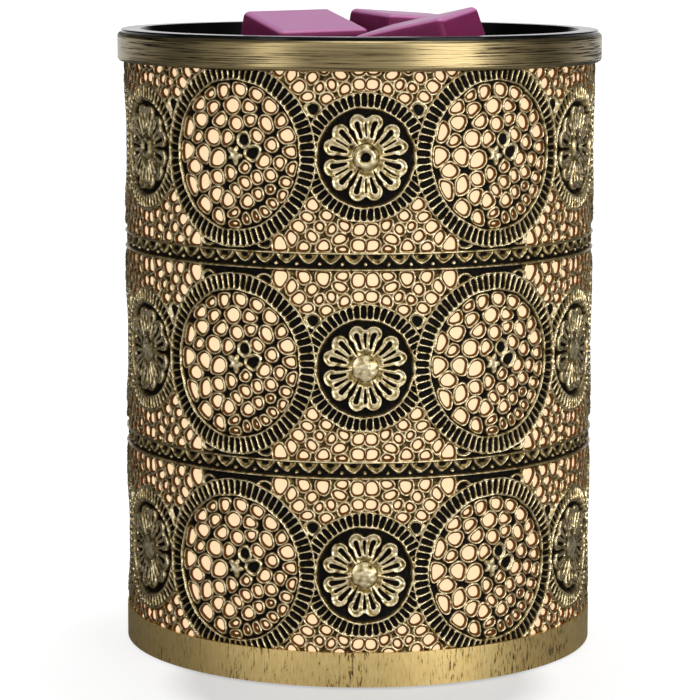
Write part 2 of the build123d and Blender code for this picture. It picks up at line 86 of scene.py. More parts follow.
def noise(tree, scale, detail=4, roughness=0.55, stretch=(1, 1, 1)):
    tex = addNode(tree, "ShaderNodeTexNoise")
    tex.inputs["Scale"].default_value = scale
    tex.inputs["Detail"].default_value = detail
    tex.inputs["Roughness"].default_value = roughness
    join(tree, place(tree, stretch), "Vector", tex, "Vector")
    return tex.outputs["Fac"]


def ramp(tree, source, stops):
    node = addNode(tree, "ShaderNodeValToRGB")
    while len(node.color_ramp.elements) < len(stops):
        node.color_ramp.elements.new(0.5)
    for element, (where, colour) in zip(node.color_ramp.elements, stops):
        element.position = where
        element.color = (colour,) * 3 + (1,) if isinstance(colour, float) else (*colour, 1)
    tree.links.new(source, node.inputs["Fac"])
    return node.outputs["Color"]


def calc(tree, operation, a, b=None, c=None, clamp=False):
    node = addNode(tree, "ShaderNodeMath", operation=operation, use_clamp=clamp)
    for socket, value in zip(node.inputs, (a, b, c)):
        feed(tree, socket, value)
    return node.outputs[0]


def axisOf(tree, kind, axis):
    # one axis of a texture coordinate
    split = addNode(tree, "ShaderNodeSeparateXYZ")
    join(tree, addNode(tree, "ShaderNodeTexCoord"), kind, split, "Vector")
    return split.outputs[axis]


def depthOf(tree, kind):
    # nought at one unit in front, one at one unit behind
    return calc(tree, "MULTIPLY_ADD", axisOf(tree, kind, "Y"), 0.5, 0.5, clamp=True)


def setSockets(bsdf, values):
    for socket, value in values.items():
        bsdf.inputs[socket].default_value = value


def blendColour(tree, factor, a, b, kind="MIX"):
    node = addNode(tree, "ShaderNodeMix", data_type="RGBA", blend_type=kind)
    for socket, value in ((node.inputs[0], factor), (node.inputs[6], a), (node.inputs[7], b)):
        feed(tree, socket, value)
    return node.outputs[2]


def bump(tree, bsdf, height, distance, strength):
    node = addNode(tree, "ShaderNodeBump")
    node.inputs["Distance"].default_value = distance
    node.inputs["Strength"].default_value = strength
    tree.links.new(height, node.inputs["Height"])
    join(tree, node, "Normal", bsdf, "Normal")


def attribute(tree, name):
    return addNode(tree, "ShaderNodeAttribute", attribute_name=name).outputs["Fac"]


def dress(node, mat):
    # a CAD node keeps its shape and gets this finish
    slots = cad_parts[node].data.materials
    if len(slots) == 0:
        slots.append(mat)
    for i in range(len(slots)):
        slots[i] = mat


# camera
cameraSetup = {
    "lens": 150.56,               # on a sensor this wide, both in millimetres
    "sensor": 36,
    "clipStart": 0.01,
    "place": (0.0, -0.6699, 0.16428),
    "pitchDown": 0.145,           # radians, as the turn and the roll
    "turn": 0.0030,               # to the left
    "roll": 0.0025,
}


def makeCamera():
    data = bpy.data.cameras.new("camera")
    data.lens = cameraSetup["lens"]
    data.sensor_width = cameraSetup["sensor"]
    data.clip_start = cameraSetup["clipStart"]
    cam = bpy.data.objects.new("camera", data)
    bpy.context.scene.collection.objects.link(cam)
    cam.location = cameraSetup["place"]
    look = Euler((math.pi / 2 - cameraSetup["pitchDown"], 0, cameraSetup["turn"]), "XYZ").to_matrix()
    roll = Euler((0, 0, cameraSetup["roll"]), "XYZ").to_matrix()
    cam.rotation_euler = (look @ roll).to_euler()
    bpy.context.scene.camera = cam


makeCamera()
print("camera placed")


# floor, world and lamps
studio = {
    "room": [                     # light by direction, from the front to the white backdrop behind
        (0.0, 0.92), (0.26, 0.76), (0.37, 0.18), (0.46, 0.02), (0.93, 0.02), (0.985, 1.0),
    ],
    "floorPlain": {
        "Base Color": (0.25, 0.25, 0.25, 1),
        "Roughness": 0.6,
        "Specular IOR Level": 0.1,
        "Emission Color": (1, 1, 1, 1),
    },
    "floorLiftAndPaintedShadow": [                # added to what the camera sees, by distance over the reach; lower near the object's foot, a painted shadow round it, and white further off
        (0.070, 0.50), (0.088, 0.78), (0.122, 0.80), (0.158, 0.85), (0.22, 0.98), (0.60, 1.0),
    ],
    "liftReach": 0.5,
    "liftForward": 0.045,         # the middle of that distance, in front of the object's, so that the painted shadow reaches further in front
    "floorSeenByMetal": [         # share of it that metal mirrors, from a metre in front to a metre behind
        (0.30, 0.24), (0.42, 0.40), (0.455, 0.40), (0.48, 0.0), (0.75, 0.0), (1.0, 1.0),
    ],
    "floorSize": 14.0,
    "aim": (0, 0, 0.07),          # what the lamps point at
    "lamps": {
        "keyLamp": {"place": (0.64, -0.70, 0.24), "size": (0.55, 0.60), "power": 4.4},
        "fillLamp": {"place": (-0.62, -0.72, 0.26), "size": (0.26, 0.50), "power": 1.0},
        "topLamp": {"place": (0.10, -0.05, 0.85), "size": (0.50, 0.50), "power": 2.6},
    },
}


def makeWorld(scene):
    # white to the camera; the object sees a white backdrop behind it, dark sides and a bright room in front
    world = bpy.data.worlds.new("studioWorld")
    scene.world = world
    world.use_nodes = True
    tree = world.node_tree
    tree.nodes.clear()
    path = addNode(tree, "ShaderNodeLightPath")
    room = ramp(tree, depthOf(tree, "Generated"), studio["room"])
    seen = blendColour(tree, path.outputs["Is Camera Ray"], room, (1, 1, 1))
    back = addNode(tree, "ShaderNodeBackground")
    tree.links.new(seen, back.inputs["Color"])
    join(tree, back, "Background", addNode(tree, "ShaderNodeOutputWorld"), "Surface")


def makeFloor(scene):
    half = studio["floorSize"] / 2
    corners = [(-half, -half, 0), (half, -half, 0), (half, half, 0), (-half, half, 0)]
    mesh = bpy.data.meshes.new("floor")
    mesh.from_pydata(corners, [], [(0, 1, 2, 3)])
    floor = bpy.data.objects.new("floor", mesh)
    scene.collection.objects.link(floor)
    mat, tree, bsdf = newMaterial("floorWhite")
    setSockets(bsdf, studio["floorPlain"])
    aside = addNode(tree, "ShaderNodeVectorMath", operation="ADD")
    join(tree, addNode(tree, "ShaderNodeTexCoord"), "Object", aside, "Vector")
    aside.inputs[1].default_value = (0, studio["liftForward"], 0)
    far = addNode(tree, "ShaderNodeVectorMath", operation="LENGTH")
    join(tree, aside, "Vector", far, "Vector")
    share = calc(tree, "MULTIPLY", far.outputs["Value"], 1 / studio["liftReach"], clamp=True)
    # painted shadow: the camera sees less lift close to the object's foot
    lift = ramp(tree, share, studio["floorLiftAndPaintedShadow"])
    path = addNode(tree, "ShaderNodeLightPath")
    glow = ramp(tree, depthOf(tree, "Object"), studio["floorSeenByMetal"])
    glossy = calc(tree, "MULTIPLY", path.outputs["Is Glossy Ray"], glow)
    seen = calc(tree, "MAXIMUM", path.outputs["Is Camera Ray"], glossy)
    tree.links.new(calc(tree, "MULTIPLY", lift, seen), bsdf.inputs["Emission Strength"])
    mesh.materials.append(mat)


def makeLamps(scene):
    for name, lamp in studio["lamps"].items():
        data = bpy.data.lights.new(name, "AREA")
        data.shape = "RECTANGLE"
        data.size, data.size_y = lamp["size"]
        data.energy = lamp["power"]
        obj = bpy.data.objects.new(name, data)
        scene.collection.objects.link(obj)
        obj.location = lamp["place"]
        aim = Vector(studio["aim"]) - Vector(lamp["place"])
        obj.rotation_euler = aim.to_track_quat("-Z", "Y").to_euler()


bpy.context.scene.view_settings.view_transform = "Standard"
makeWorld(bpy.context.scene)
makeFloor(bpy.context.scene)
makeLamps(bpy.context.scene)
print("studio lit")


# pierced shell
shell = {
    "rows": 3,
    "periods": 5,
    "rearAngle": 42.5,            # degrees left over at the rear, where the sheet meets
    "turn": -88.5,                # degrees, the middle rosette
    "sheet": 53.0,                # plain outer face, in millimetres as the rest
    "crest": 53.7,                # tops of the relief
    "inside": 52.5,               # foot of the walls of its holes
    "columns": 363,               # mesh columns in a period, so that the rear joint falls on one
    "lines": 276,                 # mesh lines in a row
    "tuck": 0.5,                  # how far the sheet goes on behind the band and the rim
    "oval": 19.1 / 19.8,          # width of the big ring over its height
    "bigRing": {"outer": 19.9, "inner": 15.9, "slots": 72, "slotWidth": 0.98},
    "rosetteRing": {"outer": 13.9, "inner": 10.5, "slots": 53, "slotWidth": 0.90},
    "pebbles": 56,
    "pebbleWeb": (0.44, 0.76),    # from a hole's edge to its cell's edge
    "blindPits": (1, 4),          # which of the pebbles nearest the knot go no deeper than the sheet
    "cornerPebbles": 16,
    "cornerWeb": (0.34, 0.52),
    "cornerReach": 20.6,          # from the rosette's middle to the last corner hole
    "ridgeAbove": 2.1,            # ridges either side of the border between rows
    "ridgeBelow": 1.4,
    "borderMargin": 0.25,         # how far that border reaches past its ridges
    "scallops": 12,
    "inletHole": 3.3,
    "inletBearing": 90.0,
    "inletLand": 0.9,             # how far round it no relief stands out
    "dimpledRow": 2,              # the top row, whose rosettes have a dimpled boss
    "ground": -0.42,              # plain places of the pattern
    "lowest": -0.5,               # lowest and highest relief
    "highest": 0.69,
    "tuckedHeight": -0.05,        # highest relief behind the band and the rim
    "noHole": 9.0,                # distance that stands for no hole near
    "drift": 0.06,                # how far the shapes stray from their drawn places
    "driftWaves": (3, 13, 24),    # fewest and most waves in a period, and how many are added up
    "roughness": 0.03,            # height of the uneven casting
    "roughWaves": (18, 46, 60),
    "wear": 0.22,                 # share by which the brightness strays
    "wearWaves": (6, 40, 50),
    "seed": 5,
}
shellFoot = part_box("pierced_shell")[0][2] / mm
rowPitch = (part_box("pierced_shell")[1][2] / mm - shellFoot) / shell["rows"]
periodAngle = (360.0 - shell["rearAngle"]) / shell["periods"]
halfPeriod = math.radians(periodAngle / 2) * shell["crest"]
rearEdge = math.radians(shell["rearAngle"] / 2) * shell["crest"]


def ease(x, low, high):
    t = np.clip((x - low) / (high - low), 0, 1)
    return t * t * (3 - 2 * t)


def ridge(distance, width):
    return np.exp(-(2 * distance / width) ** 2)


def ripple(u, v, dice, low, high, count):
    # an uneven field of about unit height, with low to high waves in a period, that repeats with the pattern
    total = np.zeros(u.shape)
    done = 0
    while done < count:
        m, n = dice.integers(-high, high + 1, 2)
        if not low <= math.hypot(m, n) <= high:
            continue
        phase = dice.uniform(0, 2 * math.pi)
        total += np.sin(2 * math.pi * (m * u / (2 * halfPeriod) + n * v / rowPitch) + phase)
        done += 1
    return total / math.sqrt(count / 2)


def lay(fields, mask, **values):
    # these values take over where the mask holds
    for key, value in values.items():
        fields[key] = np.where(mask, value, fields[key])


pebbleLook = {
    "grid": 0.33,                 # spacing of the samples that the cells grow on
    "rounds": 4,                  # how often each seed moves to the middle of its cell
    "weight": (0.85, 1.2),        # how uneven the cells' sizes are
    "length": (0.92, 1.2),        # a pebble's half length over its cell's radius
    "slender": (0.58, 0.84),      # its width over its length
    "neighbours": 3,              # cells looked at round a point
    "cellRound": 0.45,            # rounding where the sides of a cell meet
    "holeRound": 0.2,             # rounding where a cell's edge meets the pebble's oval
    "farOff": 60.0,
}


def growPebbles(inside, reach, count, webs, dice):
    # irregular pebbles, spread evenly by moving each seed to the middle of its cell
    grid = np.arange(-reach, reach, pebbleLook["grid"])
    u, v = np.meshgrid(grid, grid)
    keep = inside(u, v)
    samples = np.stack([u[keep], v[keep]], 1)
    seeds = samples[dice.choice(len(samples), count, replace=False)]
    weights = dice.uniform(*pebbleLook["weight"], count)
    for _ in range(pebbleLook["rounds"]):
        owner = (((samples[:, None] - seeds[None]) ** 2).sum(2) / weights).argmin(1)
        for i in range(count):
            mine = samples[owner == i]
            if len(mine):
                seeds[i] = mine.mean(0)
    size = np.sqrt(np.bincount(owner, minlength=count) * pebbleLook["grid"] ** 2 / math.pi)
    length = size * dice.uniform(*pebbleLook["length"], count)
    fromMiddle = np.argsort(np.hypot(seeds[:, 0], seeds[:, 1]))
    return {
        "seeds": seeds,
        "weights": weights,
        "webs": dice.uniform(*webs, count),
        "length": length,
        "width": length * dice.uniform(*pebbleLook["slender"], count),
        "turn": dice.uniform(0, math.pi, count),
        "blind": np.isin(np.arange(count), fromMiddle[list(shell["blindPits"])]),
    }


def pebbleDistance(u, v, pebbles, wall):
    # distance outside the nearest hole, negative in it, and whose hole that is
    count = pebbleLook["neighbours"]
    cellRound, holeRound = pebbleLook["cellRound"], pebbleLook["holeRound"]
    seeds = pebbles["seeds"]
    root = np.sqrt(pebbles["weights"])
    far = ((u[:, None] - seeds[:, 0]) ** 2 + (v[:, None] - seeds[:, 1]) ** 2) / pebbles["weights"]
    order = np.argpartition(far, count, axis=1)[:, :count]
    best = np.full(len(u), pebbleLook["farOff"])
    whose = np.zeros(len(u), int)
    rows = np.arange(len(u))
    for k in range(count):
        own = order[:, k]
        du = u - seeds[own, 0]
        dv = v - seeds[own, 1]
        au = seeds[None, :, 0] - seeds[own, 0][:, None]
        av = seeds[None, :, 1] - seeds[own, 1][:, None]
        gap = np.hypot(au, av) + 1e-9
        share = root[own][:, None] / (root[own][:, None] + root[None])
        away = gap * share - (du[:, None] * au + dv[:, None] * av) / gap
        away[rows, own] = pebbleLook["farOff"]
        away = np.concatenate([away, wall[:, None]], 1)
        low = away.min(1)
        edge = low - cellRound * np.log(np.exp(-(away - low[:, None]) / cellRound).sum(1))
        cell = pebbles["webs"][own] - edge
        c, s = np.cos(pebbles["turn"][own]), np.sin(pebbles["turn"][own])
        x, y = c * du + s * dv, c * dv - s * du
        a, b = pebbles["length"][own], pebbles["width"][own]
        q = np.hypot(x / a, y / b)
        oval = q * (q - 1) / (np.hypot(x / a ** 2, y / b ** 2) + 1e-9)
        distance = holeRound * np.logaddexp(cell / holeRound, oval / holeRound)
        nearer = distance < best
        best = np.where(nearer, distance, best)
        whose = np.where(nearer, own, whose)
    return best, whose


slotLook = {
    "endGap": 0.5,                # from a slot's end to the ring's edge
    "floor": -0.5,
    "rise": 0.8,
    "side": (-0.14, 0.2),         # slope of a slot's side, across its edge
    "lip": (0.25, 0.32),          # place and width of the raised lip round a slot
    "lipRise": 0.15,
    "shineFrom": (-0.02, 0.14),
    "shine": (0.4, 0.6),          # beside the lip, and what the lip adds
    "lineInset": 0.2,             # the raised line along each edge of the ring
    "lineWidth": 0.46,
    "lineShine": 0.40,
    "lineFoot": -0.3,
    "lineRise": 0.95,
}


def slotRing(ring, radius, angle):
    # raised ring with a row of sunk radial slots: height and brightness
    look = slotLook
    middle = 0.5 * (ring["inner"] + ring["outer"])
    pitch = 2 * math.pi * radius / ring["slots"]
    across = np.abs((angle * ring["slots"] / (2 * math.pi)) % 1.0 - 0.5) * pitch
    half = 0.5 * ring["slotWidth"]
    reach = 0.5 * (ring["outer"] - ring["inner"]) - look["endGap"] - half
    along = np.maximum(np.abs(radius - middle) - reach, 0)
    slot = np.hypot(across, along) - half
    inset = look["lineInset"]
    line = np.minimum(np.abs(radius - ring["inner"] - inset), np.abs(radius - ring["outer"] + inset))
    lipPlace, lipWidth = look["lip"]
    lip = ridge(slot - lipPlace, lipWidth)
    flatShine, lipShine = look["shine"]
    height = look["floor"] + look["rise"] * ease(slot, *look["side"]) + look["lipRise"] * lip
    bright = ease(slot, *look["shineFrom"]) * (flatShine + lipShine * lip)
    height = np.maximum(height, look["lineFoot"] + look["lineRise"] * ridge(line, look["lineWidth"]))
    bright = np.maximum(bright, ridge(line, look["lineShine"]))
    return height, bright


def capsule(x, y, start, end, startRadius, endRadius):
    # distance inside a tapering bar with round ends
    dx = end[0] - start[0]
    dy = end[1] - start[1]
    t = np.clip(((x - start[0]) * dx + (y - start[1]) * dy) / (dx * dx + dy * dy), 0, 1)
    radius = startRadius + t * (endRadius - startRadius)
    return radius - np.hypot(x - start[0] - t * dx, y - start[1] - t * dy)


# six heart petals round a boss, in a sunk dark disc; x is across a petal and y is out along it
flower = {
    "petals": 6,
    "scale": 1.05,
    "bossRadius": 2.8,
    "lobe": {"x": 1.66, "y": 6.98, "radius": 1.95},
    "tip": {"y": 7.25, "radius": 1.0},
    "body": {"halfWidth": 1.75, "atY": 2.9, "spread": 0.4, "squareOn": 0.93, "end": 7.4},
    "sideSlot": {"start": (1.05, 4.1), "end": (1.85, 6.8), "startRadius": 0.2, "endRadius": 0.46},
    "middleSlot": {"start": (0, 4.3), "end": (0, 6.9), "startRadius": 0.1},
    "middleSlotEnd": {True: 0.14, False: 0.30},     # narrower where the boss is dimpled
    "side": (-0.12, 0.34),        # slope of a petal's side, across its edge
    "outline": (0.3, 0.56),       # place inside the petal's edge, and width, of its raised line
    "rib": (0.24, 0.34),          # the same, outside each slot
    "dome": (5.0, 8.4),           # the petal swells between these
}


def petalShape(x, y, dimpled):
    # distance inside the petal and inside its slots
    lobe, tip, body = flower["lobe"], flower["tip"], flower["body"]
    lobes = lobe["radius"] - np.hypot(x - lobe["x"], y - lobe["y"])
    flank = (body["halfWidth"] + body["spread"] * (y - body["atY"]) - x) * body["squareOn"]
    petal = np.maximum(lobes, np.minimum(flank, body["end"] - y))
    petal = np.maximum(petal, tip["radius"] - np.hypot(x, y - tip["y"]))
    slots = np.maximum(
        capsule(x, y, **flower["sideSlot"]),
        capsule(x, y, **flower["middleSlot"], endRadius=flower["middleSlotEnd"][dimpled]),
    )
    return petal, slots


def bossShape(radius, dimpled):
    # height and brightness
    boss = flower["bossRadius"] - radius
    if dimpled:
        eye = ridge(radius - 1.65, 0.95)
        height = -0.05 + 0.25 * ease(boss, 0, 0.7) + 0.4 * eye - 0.62 * ease(1.05 - radius, 0, 0.5)
        bright = np.clip(0.5 + 0.5 * eye - 0.95 * ease(1.1 - radius, 0, 0.4), 0, 1)
    else:
        height = -0.3 + 0.98 * np.sqrt(np.clip(1 - (radius / 3.0) ** 2, 0, 1))
        bright = 0.62 + 0.3 * ease(boss, 0, 1.5)
    return np.maximum(height, -0.35), bright * ease(boss, 0.0, 0.22)


def rosette(radius, angle, dimpled):
    # height and brightness
    step = 2 * math.pi / flower["petals"]
    radius = radius / flower["scale"]
    turn = (angle - math.pi / 2 + step / 2) % step - step / 2
    x = np.abs(radius * np.sin(turn))
    y = radius * np.cos(turn)
    petal, slots = petalShape(x, y, dimpled)
    inset, width = flower["outline"]
    outline = ridge(petal - inset, width)
    outset, width = flower["rib"]
    rib = ridge(slots + outset, width)
    dome = 0.2 * ease(y, *flower["dome"])
    rise = ease(petal, *flower["side"]) * (0.6 + 0.3 * outline + 0.1 * rib + dome)
    height = shell["lowest"] + rise - 0.7 * ease(slots, -0.1, 0.2)
    bright = 0.48 + 0.5 * np.maximum(outline, 0.9 * rib) + dome
    bright = ease(petal, 0.0, 0.24) * bright * (1 - ease(slots, -0.08, 0.08))
    bossHeight, bossBright = bossShape(radius, dimpled)
    onBoss = flower["bossRadius"] - radius > 0
    height = np.where(onBoss, bossHeight, height)
    bright = np.where(onBoss, bossBright, bright)
    return np.maximum(height, shell["lowest"]), bright


def frieze(u, borderHeight):
    # pointed scallops that hang from the upper ridge, with a bead between their tips
    pitch = 2 * halfPeriod / shell["scallops"]
    x = np.abs((u / pitch) % 1.0 - 0.5) * pitch
    y = borderHeight - shell["ridgeAbove"]
    power = 1.5
    reach = ((x / 2.4) ** power + (np.abs(y) / 2.4) ** power) ** (1 / power)
    lobe = np.where(y < 0.1, (1 - reach) * 1.9, -1.0)
    outline = ridge(lobe - 0.14, 0.42) * (lobe > -0.3)
    drop = ease(1 - np.hypot(x / 0.95, (y + 0.78) / 0.5), 0, 0.5)
    bead = ease(0.55 - np.hypot(x - pitch / 2, borderHeight + 0.25), 0, 0.3)
    height = -0.42 + 0.26 * ease(lobe, 0, 0.3) + 0.5 * outline - 0.3 * drop
    bright = np.clip(0.36 * ease(lobe, 0.2, 0.5) + outline - 1.3 * drop, 0, 1)
    height = np.maximum(height, -0.35 + 0.6 * bead)
    bright = np.maximum(bright, bead)
    foot = ease(1 - np.hypot(u / 1.5, (y - 0.2) / 0.75), 0, 0.6)     # where the big ring stands on the ridge
    height = np.maximum(height, -0.35 + 0.85 * foot)
    bright = np.maximum(bright, foot)
    for line in (ridge(y, 0.50), ridge(borderHeight + shell["ridgeBelow"], 0.52)):
        height = np.maximum(height, -0.35 + 0.95 * line)
        bright = np.maximum(bright, line)
    return height, bright


def patternAt(u, v, row):
    # relief height over the sheet, brightness of the brass, distance outside the nearest hole, and where the
    # liner's glow is painted on the hole rims
    big = shell["bigRing"]
    small = shell["rosetteRing"]
    half = rowPitch / 2
    top = half - shell["ridgeBelow"] - shell["borderMargin"]
    bottom = half - shell["ridgeAbove"] - shell["borderMargin"]
    dice = np.random.default_rng(shell["seed"])                      # each row is stamped alike
    drift = np.random.default_rng(shell["seed"] + 1)
    rough = ripple(u, v, drift, *shell["roughWaves"])
    wear = ripple(u, v, drift, *shell["wearWaves"])
    shiftU = shell["drift"] * ripple(u, v, drift, *shell["driftWaves"])
    shiftV = shell["drift"] * ripple(u, v, drift, *shell["driftWaves"])
    border = np.where(v < 0, v + half, v - half)
    u, v = u + shiftU, v + shiftV
    ru = np.where(u > 0, u - halfPeriod, u + halfPeriod)             # from the nearest rosette
    across = u / shell["oval"]
    radius = np.hypot(across, v)
    angle = np.arctan2(v, across)
    rosetteRadius = np.hypot(ru, v)
    rosetteAngle = np.arctan2(v, ru)

    def offBigRing(a, b):
        return (np.hypot((halfPeriod - np.abs(a)) / shell["oval"], b) - big["outer"]) * 0.95

    def inOval(a, b):
        reach = np.hypot(a / shell["oval"], b)
        return (reach < big["inner"] - 0.2) & (reach > 2.4)

    def inCorner(a, b):
        clear = (np.hypot(a, b) > small["outer"] + 0.2) & (offBigRing(a, b) > 0.25)
        return (a > 0) & (a < shell["cornerReach"]) & (b > 0) & (b < bottom + 0.3) & clear

    hole = np.full(u.shape, shell["noHole"])
    pit = np.zeros(u.shape, bool)

    pebbles = growPebbles(inOval, big["inner"], shell["pebbles"], shell["pebbleWeb"], dice)
    here = radius < big["inner"]
    wall = np.minimum(big["inner"] - 0.2 - radius, radius - 2.2) * 0.95
    hole[here], whose = pebbleDistance(u[here], v[here], pebbles, wall[here])
    pit[here] = pebbles["blind"][whose]

    corner = growPebbles(inCorner, half, shell["cornerPebbles"], shell["cornerWeb"], dice)
    junction = (np.abs(corner["seeds"][:, 0] - 12.8) < 1.9) & (corner["seeds"][:, 1] < 11.8)
    side = np.abs(ru)
    here = (radius > big["outer"]) & (rosetteRadius > small["outer"]) & (np.abs(v) < half - 1.0)
    level = np.where(v > 0, top, bottom) - np.abs(v)
    wall = np.minimum(np.minimum(offBigRing(ru, v), rosetteRadius - small["outer"]), level) + 0.1
    wall = np.minimum(np.minimum(wall, shell["cornerReach"] + 0.5 - side), side + 0.2)
    hole[here], whose = pebbleDistance(side[here], np.abs(v[here]), corner, wall[here])
    pit[here] = junction[whose] & (v[here] > 0)                      # those below are pierced
    # the blind pit beside each big ring's top
    lastPit = np.hypot((side - 22.5) / 1.25, (np.abs(v) - 18.4) / 0.9)
    lastPit = (lastPit - 1.0) * 0.9
    nearer = here & (lastPit < hole)
    hole = np.where(nearer, lastPit, hole)
    pit = pit | nearer

    fields = pebbleRelief(hole, pit, radius > big["outer"])
    onBig = (radius < big["outer"]) & (radius > big["inner"])
    onSmall = (rosetteRadius < small["outer"]) & (rosetteRadius > small["inner"] - 0.3)
    onSmall = onSmall & (radius > big["outer"])
    for ring, r, a, mask in ((small, rosetteRadius, rosetteAngle, onSmall), (big, radius, angle, onBig)):
        ringHeight, ringBright = slotRing(ring, r, a)
        lay(fields, mask, height=ringHeight, bright=ringBright, hole=shell["noHole"], rim=0.0)

    flowerHeight, flowerBright = rosette(rosetteRadius, rosetteAngle, row == shell["dimpledRow"])
    edge = ridge(rosetteRadius - small["inner"] - 0.12, 0.62)
    lay(fields, rosetteRadius < small["inner"],
        height=np.maximum(flowerHeight, shell["lowest"] + 1.15 * edge),
        bright=np.maximum(flowerBright, edge))
    addKnot(fields, radius, angle)

    mask = (border > 0) & (border < half - bottom) | (border < 0) & (border > top - half)
    edgeHeight, edgeBright = frieze(u, border)
    lay(fields, mask, height=edgeHeight, bright=edgeBright, hole=shell["noHole"], rim=0.0)
    height = fields["height"] + shell["roughness"] * rough
    fields["height"] = np.clip(height, shell["lowest"], shell["highest"])
    fields["bright"] = np.clip(fields["bright"] * (1 + shell["wear"] * wear), 0, 1)
    return fields


def pebbleRelief(hole, pit, corner):
    # the webs between the holes, tarnished round the corner holes, and the blind pits
    crest = ridge(hole - 0.44, 0.36)
    pebbled = hole < shell["noHole"] - 1
    land = ease(hole, 0.2, 0.34) * (1 - ease(hole, 0.58, 0.74)) * (0.3 + 0.7 * crest)
    tarnish = 0.26 * corner * (1 - 0.7 * ease(hole, 0.9, 1.7))
    # painted glow: the rim marks a hole's edge and a band beside it, where the liner's light is painted on;
    # none on blind pits
    rim = np.maximum(ease(0.36 - hole, 0.0, 0.12), 0.4 * ease(0.80 - hole, 0.0, 0.2) * (1 - crest))
    fields = {
        "height": np.full(hole.shape, shell["ground"]),
        "bright": np.zeros(hole.shape),
        "hole": hole,
        "rim": np.where(pit, 0.0, rim),
    }
    lay(fields, pebbled,
        height=-0.28 + 0.44 * crest - 0.14 * ease(hole, 0.6, 1.0),
        bright=np.maximum(land, tarnish * ease(hole, 0.2, 0.36)))
    lay(fields, pit & (hole < 0.1), height=-0.28 - 0.2 * ease(-hole, -0.1, 0.3))
    pitBright = ease(hole, 0.0, 0.2) * (1 - ease(hole, 0.5, 0.8))
    lay(fields, pit & pebbled, bright=pitBright, hole=shell["noHole"])
    return fields


# the knot amid the pebbles, a rough star
knot = {
    "radius": 1.9,
    "reach": 2.6,
    "side": (-0.15, 0.6),
    "rise": 0.7,
    "shine": 0.75,
    "shineFrom": (0, 0.3),
    "solid": 0.3,                 # it is no nearer to a hole than this
}


def addKnot(fields, radius, angle):
    star = knot["radius"] + 0.5 * np.cos(5 * angle + 0.6) + 0.3 * np.cos(2 * angle + 2) - radius
    lay(fields, radius < knot["reach"],
        height=np.maximum(fields["height"], shell["ground"] + knot["rise"] * ease(star, *knot["side"])),
        bright=np.maximum(fields["bright"], knot["shine"] * ease(star, *knot["shineFrom"])),
        hole=np.maximum(fields["hole"], knot["solid"]))


# the plain strip over the sheet's joint, broken at the ledges and above the inlet
rearLap = {
    "halfWidth": 1.6,
    "foot": 11.9,                 # level where it starts
    "ledgeGap": 0.4,
    "landWidth": 0.3,             # unpierced sheet beside it
    "side": (-0.1, 0.25),
    "base": -0.35,
    "shine": 0.75,
}


def addRearLap(fields, u, v, middle):
    off = rearEdge - np.abs(u)
    half = rowPitch / 2
    gap = rearLap["ledgeGap"]
    clear = (v > -half + shell["ridgeAbove"] + gap) & (v < half - shell["ridgeBelow"] - gap)
    strip = clear & (off < rearLap["halfWidth"] + rearLap["landWidth"]) & (v + middle > rearLap["foot"])
    rise = ease(rearLap["halfWidth"] - off, *rearLap["side"])
    lay(fields, strip, height=rearLap["base"] + rise, bright=rearLap["shine"] * rise,
        hole=shell["noHole"], rim=0.0)


def onCylinder(u, v, radius, middle):
    angle = u / shell["crest"]
    return np.stack([radius * np.cos(angle) * mm, radius * np.sin(angle) * mm, (v + middle) * mm], -1)


def holeOutlines(solid, hole, index):
    # grid edges that cross a hole's edge: their two ends, and how far along the crossing lies
    ends = []
    for axis in (0, 1):
        a = index[:-1, :] if axis == 0 else index[:, :-1]
        b = index[1:, :] if axis == 0 else index[:, 1:]
        changed = solid.ravel()[a] != solid.ravel()[b]
        ends.append(np.stack([a[changed], b[changed]], 1))
    ends = np.concatenate(ends)
    low = hole.ravel()[ends[:, 0]]
    high = hole.ravel()[ends[:, 1]]
    return ends, np.clip(low / (low - high), 0.06, 0.94)


def clipFaces(solid, index, ends, count):
    # whole grid faces, faces clipped at a hole, and the edges that carry the hole's wall
    crossing = {}
    for i, (a, b) in enumerate(ends.tolist()):
        crossing[(a, b)] = count + i
        crossing[(b, a)] = count + i
    corners = [index[:-1, :-1], index[1:, :-1], index[1:, 1:], index[:-1, 1:]]
    filled = [solid[:-1, :-1], solid[1:, :-1], solid[1:, 1:], solid[:-1, 1:]]
    whole = filled[0] & filled[1] & filled[2] & filled[3]
    some = (filled[0] | filled[1] | filled[2] | filled[3]) & ~whole
    faces = np.stack([c[whole] for c in corners], 1).tolist()
    flat = solid.ravel()
    walls = []
    for quad in np.stack([c[some] for c in corners], 1).tolist():
        outline = []
        leaving = None
        first = None
        for i in range(4):
            a, b = quad[i], quad[(i + 1) % 4]
            if flat[a]:
                outline.append(a)
            if flat[a] == flat[b]:
                continue
            cross = crossing[(a, b)]
            outline.append(cross)
            if flat[a]:
                leaving = cross
            elif leaving is not None:
                walls.append((leaving, cross))
                leaving = None
            else:
                first = cross
        if leaving is not None and first is not None:
            walls.append((leaving, first))
        faces.append(outline)
    return faces, walls


